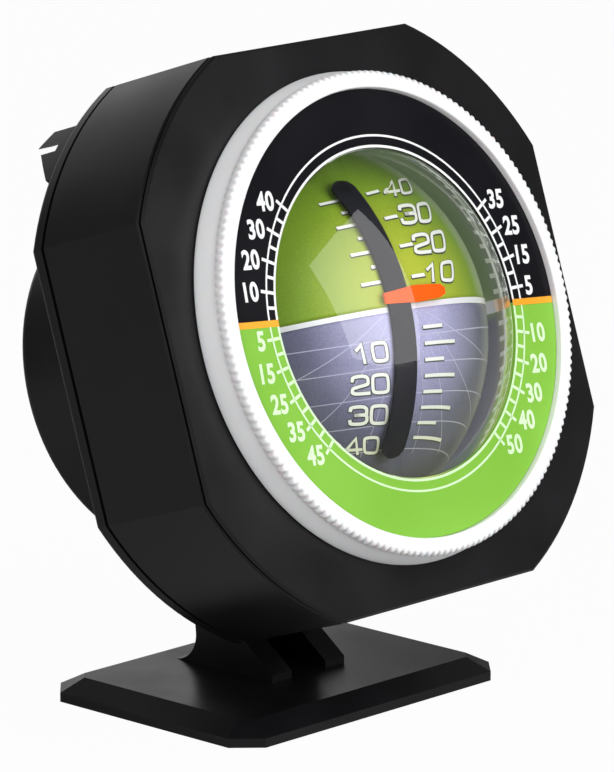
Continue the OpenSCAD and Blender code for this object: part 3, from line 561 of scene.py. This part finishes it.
def on_wall(angle, depth, width, side=1):
    """A stroke on the cup's wall through points of this angle and depth, as a flat ribbon bent round
    the wall: (side R cos t, depth, R sin t); side is 1 on the right and -1 on the left."""
    edge = ribbon(np.stack([np.radians(angle) * WALL_R, depth], 1), width)
    t = edge[..., 0] / WALL_R
    points = np.stack([side * WALL_R * np.cos(t), edge[..., 1], WALL_R * np.sin(t)], -1)
    return on_dial(points), grid_faces(*edge.shape[:2])[:, ::side]


ladder_parts = []
for side in (1, -1):
    line = np.linspace(-LADDER_END, LADDER_END, 80)
    ladder_parts.append(on_wall(line, ladder_depth(line, 1.5), LINE_WIDTH, side))
    for step in range(-TICKS_EACH_WAY, TICKS_EACH_WAY + 1):
        angle = TICK_ZERO + TICK_STEP * step
        depth = ladder_depth(angle)
        if step:
            forward = 1.9 if step % 2 else 0.3
            ladder_parts.append(on_wall([angle, angle], [depth - forward, depth + 1.5], TICK_WIDTH, side))
# the ladder is painted reflection, white with a painted glow
ladder_painted_reflection = finish_material("ladder_painted_reflection", (0.66, 0.68, 0.62), (0.74, 0.76, 0.70), (0.35, 0.45),
                               depth=0.002, Emission_Color=(0.8, 0.85, 0.75, 1), Emission_Strength=0.30)
ladder = make_piece("painted_scale_reflection_ladder", *joined(ladder_parts), [ladder_painted_reflection])
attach(ladder, "dial")
# painted reflections of the scale's level line, in white and orange, each with a painted glow
for name, depths, tone in (("painted_level_reflection_white", (18.9, 21.6), (0.80, 0.80, 0.84)),
                           ("painted_level_reflection_orange", (12.8, 18.5), (0.80, 0.50, 0.28))):
    mark_tone = finish_material(name, tone, tone, (0.35, 0.45), depth=0.002,
                                Emission_Color=(*tone, 1), Emission_Strength=0.25)
    mark = make_piece(name, *on_wall([LEVEL_ANGLE, LEVEL_ANGLE], depths, LEVEL_WIDTH), [mark_tone])
    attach(mark, "dial")
dress(finish_material("nitrile_rubber", (0.014, 0.014, 0.014), (0.022, 0.022, 0.022), (0.55, 0.70),
                      depth=0.02), "dome_seal", "plug_seal", "expansion_bellows")

# ---------------------------------------------------------------------------------------------
# Reference arc, its clear posts and the orange pointer: thin mouldings that stand just in front of
# the ball. The pointer's lower edge marks the zero line.
# ---------------------------------------------------------------------------------------------
dress(finish_material("arc_black", (0.005, 0.005, 0.009), (0.008, 0.008, 0.013), (0.40, 0.46), depth=0.0008,
                      Specular_IOR_Level=0.15), "arc_bar")
dress(finish_material("post_clear", (0.96, 0.98, 0.97), (0.98, 0.99, 0.98), (0.0, 0.01), depth=0.0005,
                      Transmission_Weight=1.0, IOR=1.03), "arc_posts")
dress(finish_material("marker_orange", (1.0, 0.085, 0.0), (1.0, 0.12, 0.0), (0.36, 0.44), depth=0.003,
                      Specular_IOR_Level=0.15), "marker")

# ---------------------------------------------------------------------------------------------
# Window and liquid: a shallow clear acrylic cap, cemented to its flange, and the clear damping oil
# behind it, whose optical strength is close to the cap's, so both are one closed clear body. It
# reaches a fifth of a millimetre into the cup's wall, so no gap of air mirrors the ball there.
# ---------------------------------------------------------------------------------------------
# mm: radius of the cap's curve and depth of its centre, radius of the clear body's wall, and the depths
# between which that wall runs straight
WINDOW_R, WINDOW_Y, WINDOW_EDGE = 33.0, 24.2, 22.62
WALL_DEPTHS = (2.5, 12.0)
clear_fill = bpy.data.materials.new("window_and_liquid")
clear_fill.use_nodes = True
tree = clear_fill.node_tree
glass = tree.nodes["Principled BSDF"]
for label, value in (("Base Color", (0.985, 0.995, 0.99, 1)), ("Roughness", 0.0), ("IOR", 1.36),
                     ("Transmission Weight", 1.0), ("Coat Weight", 0.15), ("Coat Roughness", 0.0),
                     ("Coat IOR", 1.5)):
    glass.inputs[label].default_value = value
# light that only passes through it, as shadows and soft light do, goes straight on
through = tree.nodes.new("ShaderNodeBsdfTransparent")
ray = tree.nodes.new("ShaderNodeLightPath")
passing = add_node(tree, "ShaderNodeMath", operation="MAXIMUM")
chosen = tree.nodes.new("ShaderNodeMixShader")
wire(tree,
     (ray.outputs["Is Shadow Ray"], passing.inputs[0]),
     (ray.outputs["Is Diffuse Ray"], passing.inputs[1]),
     (passing.outputs[0], chosen.inputs["Fac"]),
     (glass.outputs["BSDF"], chosen.inputs[1]),
     (through.outputs["BSDF"], chosen.inputs[2]),
     (chosen.outputs[0], tree.nodes["Material Output"].inputs["Surface"]))


def lathe_points(profile, around):
    """A profile of (radius, depth) points turned about the dial's axis: (r cos t, depth, r sin t)."""
    r, y = (np.asarray(profile, float)[:, k][:, None] for k in (0, 1))
    t = np.linspace(0, 2 * math.pi, around, endpoint=False)[None, :]
    return np.stack(np.broadcast_arrays(r * np.cos(t), y, r * np.sin(t)), -1)


edge_angle = math.asin(WINDOW_EDGE / WINDOW_R)
front = [(WINDOW_R * math.sin(a), WINDOW_Y - WINDOW_R * math.cos(a))
         for a in np.linspace(1e-4, edge_angle, 72)]
rear = [(WINDOW_EDGE * math.cos(a), BALL_DEPTH + WINDOW_EDGE * math.sin(a))
        for a in np.linspace(0, math.pi / 2 - 1e-4, 48)]
profile = front + [(WINDOW_EDGE, depth) for depth in WALL_DEPTHS] + rear
around = 256
window = make_piece("window_and_liquid", on_dial(lathe_points(profile, around)),
                    capped_faces(len(profile), around), [clear_fill])
window.data.set_sharp_from_angle(angle=math.radians(35))
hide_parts("dome")
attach(window, "dial")

# ---------------------------------------------------------------------------------------------
# Roll scale: a thin printed disc, black above the level line and lime below it, with two white
# circles, a tick every five degrees, orange zero bars and upright condensed numbers.
# ---------------------------------------------------------------------------------------------
SCALE_IN, SCALE_OUT, SCALE_T, SCALE_EDGE = 22.8, 30.95, 0.8, 0.04      # mm; SCALE_EDGE breaks the corners
print_black = finish_material("scale_black", (0.0045, 0.0045, 0.0065), (0.0065, 0.0065, 0.009),
                              (0.26, 0.32), depth=0.001, Specular_IOR_Level=0.16)
print_lime = finish_material("scale_lime", (0.21, 0.49, 0.046), (0.235, 0.53, 0.056), (0.32, 0.40),
                             depth=0.002, Specular_IOR_Level=0.3)
around = 720
profile = [(SCALE_IN + SCALE_EDGE, 0.0), (SCALE_OUT - SCALE_EDGE, 0.0), (SCALE_OUT, SCALE_EDGE),
           (SCALE_OUT, SCALE_T), (SCALE_IN, SCALE_T), (SCALE_IN, SCALE_EDGE)]
faces = grid_faces(len(profile), around, close_rows=True, close_columns=True)
lime_half = (faces[:, 0] % around) >= around // 2
disc = make_piece("printed_scale", on_dial(lathe_points(profile, around)), faces, [print_black, print_lime],
                  lime_half.astype(int), smooth=False)
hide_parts("scale_ring")
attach(disc, "dial")

scale_white = finish_material("scale_ink_white", (0.80, 0.81, 0.82), (0.90, 0.91, 0.92), (0.38, 0.48),
                              depth=0.002)
scale_tint = finish_material("scale_ink_pale", (0.62, 0.86, 0.50), (0.72, 0.93, 0.62), (0.38, 0.48),
                             depth=0.002)
scale_orange = finish_material("scale_ink_orange", (0.90, 0.34, 0.010), (1.0, 0.42, 0.020), (0.35, 0.45),
                               depth=0.002)
# mm: height of the ink in front of the disc, the two circles' inner and outer radii, the ticks' inner
# end, the outer ends of short and of numbered ticks, their width, and each number's gap and height;
# then how far the numbers are squeezed across, and how much their strokes are thickened
PRINT = 0.03
CIRCLES = ((24.36, 24.66), (22.84, 23.2))
TICK_IN, TICK_SHORT, TICK_LONG, BAR_WIDTH = 23.1, 24.45, 25.55, 0.45
LABEL_GAP, LABEL_HIGH = 0.45, 2.75
LABEL_SQUEEZE, LABEL_WEIGHT = 0.86, 0.034


def flat_arc(r0, r1, a0, a1, lift, steps):
    """A flat ring sector in front of the disc: r cos a, -lift, r sin a, for angles in degrees."""
    a = np.radians(np.linspace(a0, a1, steps))[None, :]
    r = np.array([r1, r0])[:, None]
    points = np.stack(np.broadcast_arrays(r * np.cos(a), -lift, r * np.sin(a)), -1)
    return on_dial(points), grid_faces(2, steps)


def flat_bar(angle, r0, r1, width, lift):
    """A straight radial bar in front of the disc at this angle, of this width."""
    a = math.radians(angle)
    out = np.array([math.cos(a), 0, math.sin(a)])
    side = np.array([-math.sin(a), 0, math.cos(a)]) * width / 2
    corner = np.stack([[out * r0 + side, out * r1 + side], [out * r0 - side, out * r1 - side]])
    corner[..., 1] = -lift
    return on_dial(corner), grid_faces(2, 2)


def label_mesh(text, edge, up, lift):
    """A number in the built-in sans face, squeezed across and thickened, made a flat mesh in front of
    the disc. Its side nearer the dial's middle is at edge, its middle height at up, both in mm."""
    curve = bpy.data.curves.new("label", "FONT")
    curve.body, curve.size, curve.offset, curve.resolution_u = text, 1.0, LABEL_WEIGHT, 4
    curve.space_character = 1.06
    drawn = bpy.data.objects.new("label", curve)
    bpy.context.scene.collection.objects.link(drawn)
    flat = bpy.data.meshes.new_from_object(drawn.evaluated_get(bpy.context.evaluated_depsgraph_get()))
    p = np.zeros(len(flat.vertices) * 3)
    flat.vertices.foreach_get("co", p)
    p = p.reshape(-1, 3)
    faces = [list(f.vertices) for f in flat.polygons]
    bpy.data.objects.remove(drawn)
    bpy.data.curves.remove(curve)
    bpy.data.meshes.remove(flat)
    low, high = p.min(0), p.max(0)
    scale = LABEL_HIGH / (high[1] - low[1])
    x = (p[:, 0] - (low[0] if edge > 0 else high[0])) * scale * LABEL_SQUEEZE + edge
    z = (p[:, 1] - (low[1] + high[1]) / 2) * scale + up
    return on_dial(np.stack([x, np.full_like(x, -lift), z], -1)), faces


marks = {"white": [], "pale": []}
labels = {"white": [], "pale": []}
for ink, a0, a1 in (("white", 0, 180), ("pale", 180, 360)):
    for inner, outer in CIRCLES:
        marks[ink].append(flat_arc(inner, outer, a0, a1, PRINT, 240))
# each side's readings, negative below the level line: every second one has a number
readings = [(side, level) for side, reach in (("left", (40, 45)), ("right", (35, 50)))
            for level in range(-reach[1], reach[0] + 1, 5) if level]
for side, level in readings:
    angle = 180 - level if side == "left" else level
    ink = "white" if level > 0 else "pale"
    labelled = (abs(level) % 10 == 0) == ((side == "left") == (level > 0))
    marks[ink].append(flat_bar(angle, TICK_IN, TICK_LONG if labelled else TICK_SHORT, BAR_WIDTH, PRINT))
    if labelled:
        out = TICK_LONG * math.cos(math.radians(angle))
        up = TICK_LONG * math.sin(math.radians(angle))
        labels[ink].append(label_mesh(str(abs(level)), out + math.copysign(LABEL_GAP, out), up, PRINT))
for ink, material in (("white", scale_white), ("pale", scale_tint)):
    printed = make_piece(f"scale_marks_{ink}", *joined(marks[ink]), [material], smooth=False)
    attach(printed, "dial")
    points, faces = np.zeros((0, 3)), []
    for p, f in labels[ink]:
        faces += [[i + len(points) for i in face] for face in f]
        points = np.concatenate([points, p])
    printed = make_piece(f"scale_numbers_{ink}", points, faces, [material], smooth=False)
    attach(printed, "dial")
zero_bars = [flat_bar(angle, SCALE_IN + 0.05, SCALE_OUT - 0.1, 2 * BAR_WIDTH, 1.6 * PRINT)
             for angle in (0, 180)]
bars = make_piece("scale_zero_bars", *joined(zero_bars), [scale_orange], smooth=False)
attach(bars, "dial")

# ---------------------------------------------------------------------------------------------
# Knurled ring: one white acetal moulding with a softly rounded lip, 180 fine rounded teeth round the
# front's outer corner, a smooth flare behind them and a skirt that turns in the front cover.
# ---------------------------------------------------------------------------------------------
RING_TEETH, TOOTH = 180, 0.36                           # their number, and their height in mm
ring_white = finish_material("ring_white", (0.84, 0.84, 0.85), (0.90, 0.90, 0.91), (0.34, 0.44),
                             pits=3000.0, depth=0.003, Subsurface_Weight=0.12, Subsurface_Scale=0.002)
# radius and depth in mm, and the share of the tooth's height cut away between two teeth
ring_profile = np.array([
    # lip and front face
    (31.0, 0.78, 0), (31.0, -0.7, 0), (31.03, -0.84, 0), (31.1, -0.94, 0), (31.25, -0.99, 0),
    (31.6, -1.0, 0), (32.2, -1.0, 0),
    # teeth
    (32.4, -0.99, 0.05), (32.6, -0.98, 0.25), (32.85, -0.95, 0.5), (33.1, -0.87, 0.75), (33.3, -0.73, 0.95),
    (33.42, -0.52, 1), (33.48, -0.25, 1), (33.5, 0.0, 1), (33.48, 0.18, 0.85), (33.4, 0.3, 0.5),
    (33.3, 0.42, 0.15),
    # flare
    (33.26, 0.6, 0), (33.34, 0.9, 0), (33.5, 1.4, 0), (33.7, 2.0, 0), (33.88, 2.6, 0), (34.02, 3.1, 0),
    (34.09, 3.45, 0), (34.1, 3.6, 0), (34.08, 3.75, 0), (34.0, 3.85, 0),
    # skirt and the seat of the disc
    (31.25, 3.85, 0), (31.22, 7.88, 0), (29.9, 7.88, 0), (29.9, 0.8, 0)])
around = RING_TEETH * 8
t = np.linspace(0, 2 * math.pi, around, endpoint=False)[None, :]
valley = (0.5 - 0.5 * np.cos(RING_TEETH * t)) ** 1.4
r = ring_profile[:, :1] - TOOTH * ring_profile[:, 2:] * valley
points = np.stack(np.broadcast_arrays(r * np.cos(t), ring_profile[:, 1:2], r * np.sin(t)), -1)
ring = make_piece("knurled_ring", on_dial(points),
                  grid_faces(len(ring_profile), around, close_rows=True, close_columns=True), [ring_white])
ring.data.set_sharp_from_angle(angle=math.radians(50))
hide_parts("bezel_ring")
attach(ring, "dial")

# ---------------------------------------------------------------------------------------------
# Studio: a white floor, one window-like softbox in front, whose image lies on the window's left
# side, a weak fill from the left, a low glow behind and the photograph's camera.
# ---------------------------------------------------------------------------------------------
floor_white = bpy.data.materials.new("floor_white")
floor_white.use_nodes = True
tree = floor_white.node_tree
paper = tree.nodes["Principled BSDF"]
for label, value in (("Base Color", (0.55, 0.55, 0.55, 1)), ("Roughness", 0.9),
                     ("Specular IOR Level", 0.1)):
    paper.inputs[label].default_value = value
# seen straight from the camera the paper is white, but for a small share that keeps the shadow
glow = add_node(tree, "ShaderNodeEmission", Color=(1, 1, 1, 1), Strength=1.0)
ray = tree.nodes.new("ShaderNodeLightPath")
share = add_node(tree, "ShaderNodeMath", operation="MULTIPLY")
share.inputs[1].default_value = 0.97
blend = tree.nodes.new("ShaderNodeMixShader")
wire(tree,
     (ray.outputs["Is Camera Ray"], share.inputs[0]),
     (share.outputs[0], blend.inputs["Fac"]),
     (paper.outputs["BSDF"], blend.inputs[1]),
     (glow.outputs["Emission"], blend.inputs[2]),
     (blend.outputs[0], tree.nodes["Material Output"].inputs["Surface"]))
sheet = np.linspace(-6, 6, 13)                          # metres
x, y = np.meshgrid(sheet, sheet, indexing="ij")
floor = make_piece("studio_floor", np.stack([x, y, np.zeros_like(x)], -1),
                   grid_faces(len(sheet), len(sheet))[:, ::-1], [floor_white])

world = bpy.data.worlds.new("studio_white")
bpy.context.scene.world = world
world.use_nodes = True
tree = world.node_tree
sky = tree.nodes["Background"]
sky.inputs["Color"].default_value = (1, 1, 1, 1)
ray = tree.nodes.new("ShaderNodeLightPath")
seen = add_node(tree, "ShaderNodeMath", operation="MAXIMUM")
level = add_node(tree, "ShaderNodeMapRange", To_Min=0.15, To_Max=1.0)
wire(tree,
     (ray.outputs["Is Camera Ray"], seen.inputs[0]),
     (ray.outputs["Is Transmission Ray"], seen.inputs[1]),
     (seen.outputs[0], level.inputs["Value"]),
     (level.outputs["Result"], sky.inputs["Strength"]))


def area_lamp(name, at, towards, size, power, roll=0.0):
    """A rectangular lamp at a point in metres that shines towards another, of this size in metres and
    power in watts; roll turns it in its plane, in radians."""
    light = bpy.data.lights.new(name, "AREA")
    light.shape, light.size, light.size_y, light.energy = "RECTANGLE", size[0], size[1], power
    lamp = bpy.data.objects.new(name, light)
    bpy.context.scene.collection.objects.link(lamp)
    at, towards = np.array(at, float), np.array(towards, float)
    back = (at - towards) / np.linalg.norm(at - towards)
    right = np.cross([0, 0, 1], back)
    right /= np.linalg.norm(right)
    up = np.cross(back, right)
    c, s = math.cos(roll), math.sin(roll)
    turned = np.eye(4)
    turned[:3] = np.stack([right * c + up * s, up * c - right * s, back, at], 1)
    lamp.matrix_world = Matrix(turned.tolist())


area_lamp("front_softbox", (0.022, -0.957, 0.481), (-0.63, -0.378, -0.01), (0.954, 1.196), 14.0,
          math.radians(-20.9))
area_lamp("left_fill", (-1.15, -0.42, 0.75), (0, 0, 0.05), (0.6, 0.6), 7.5)
area_lamp("back_glow", (0.32, 0.78, 0.24), (0, 0, 0.03), (0.8, 0.42), 0.8)

camera_data = bpy.data.cameras.new("camera")
camera_data.lens, camera_data.sensor_width, camera_data.sensor_fit = 255.6, 36.0, "AUTO"
camera_data.clip_start, camera_data.clip_end = 0.01, 50.0
camera = bpy.data.objects.new("camera", camera_data)
bpy.context.scene.collection.objects.link(camera)
# the camera's right, up and backward directions
view_axes = np.array([(0.6888, -0.725, -0.0007), (0.1614, 0.153, 0.975), (-0.7067, -0.671, 0.222)])
placed = np.eye(4)
placed[:3, :3] = view_axes.T
placed[:3, 3] = (-0.5361, -0.5154, 0.2134)
camera.matrix_world = Matrix(placed.tolist())
bpy.context.scene.camera = camera
bpy.context.scene.view_settings.view_transform = "Standard"
